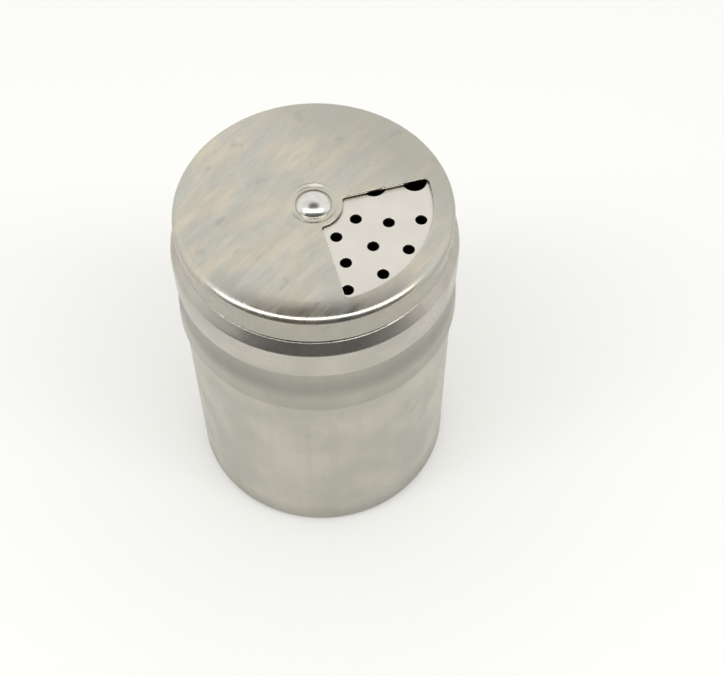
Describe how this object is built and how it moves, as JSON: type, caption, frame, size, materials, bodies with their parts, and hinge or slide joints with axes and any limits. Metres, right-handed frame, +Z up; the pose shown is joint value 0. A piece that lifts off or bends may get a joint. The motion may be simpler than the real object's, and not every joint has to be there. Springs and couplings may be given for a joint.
{
  "type": "spice shaker tin",
  "caption": "Round stainless steel spice tin with a push-on sifter cap and a turning cover whose window selects the shaker holes, the pour opening or closed.",
  "frame": {"origin": "middle of the foot ring, on the surface the tin stands on", "axes": "+Z up along the tin's axis and the cover's rivet; +X to the right and -Y towards the viewer when the cover's window is at the right of the front"},
  "size_m": [0.0634, 0.0634, 0.0892],
  "materials": {
    "can_steel": "satin drawn stainless steel",
    "cap_steel": "bright annealed stainless steel",
    "cover_steel": "lightly brushed stainless steel with polished edges",
    "rivet_steel": "polished",
    "washer_steel": "plain"
  },
  "bodies": {
    "can": {"body_can": "can_steel"},
    "lid": {"sifter_cap": "cap_steel", "centre_rivet": "rivet_steel", "rivet_washer": "washer_steel"},
    "cover": {"rotating_cover": "cover_steel"}
  },
  "joints": [
    {"name": "lid_lift", "type": "slide", "parent": "can", "child": "lid", "axis": [0, 0, 1], "range_m": [0, 0.04]},
    {"name": "cover_spin", "type": "hinge", "parent": "lid", "child": "cover", "pos_m": [0, 0, 0.0873], "axis": [0, 0, 1], "continuous": true}
  ]
}
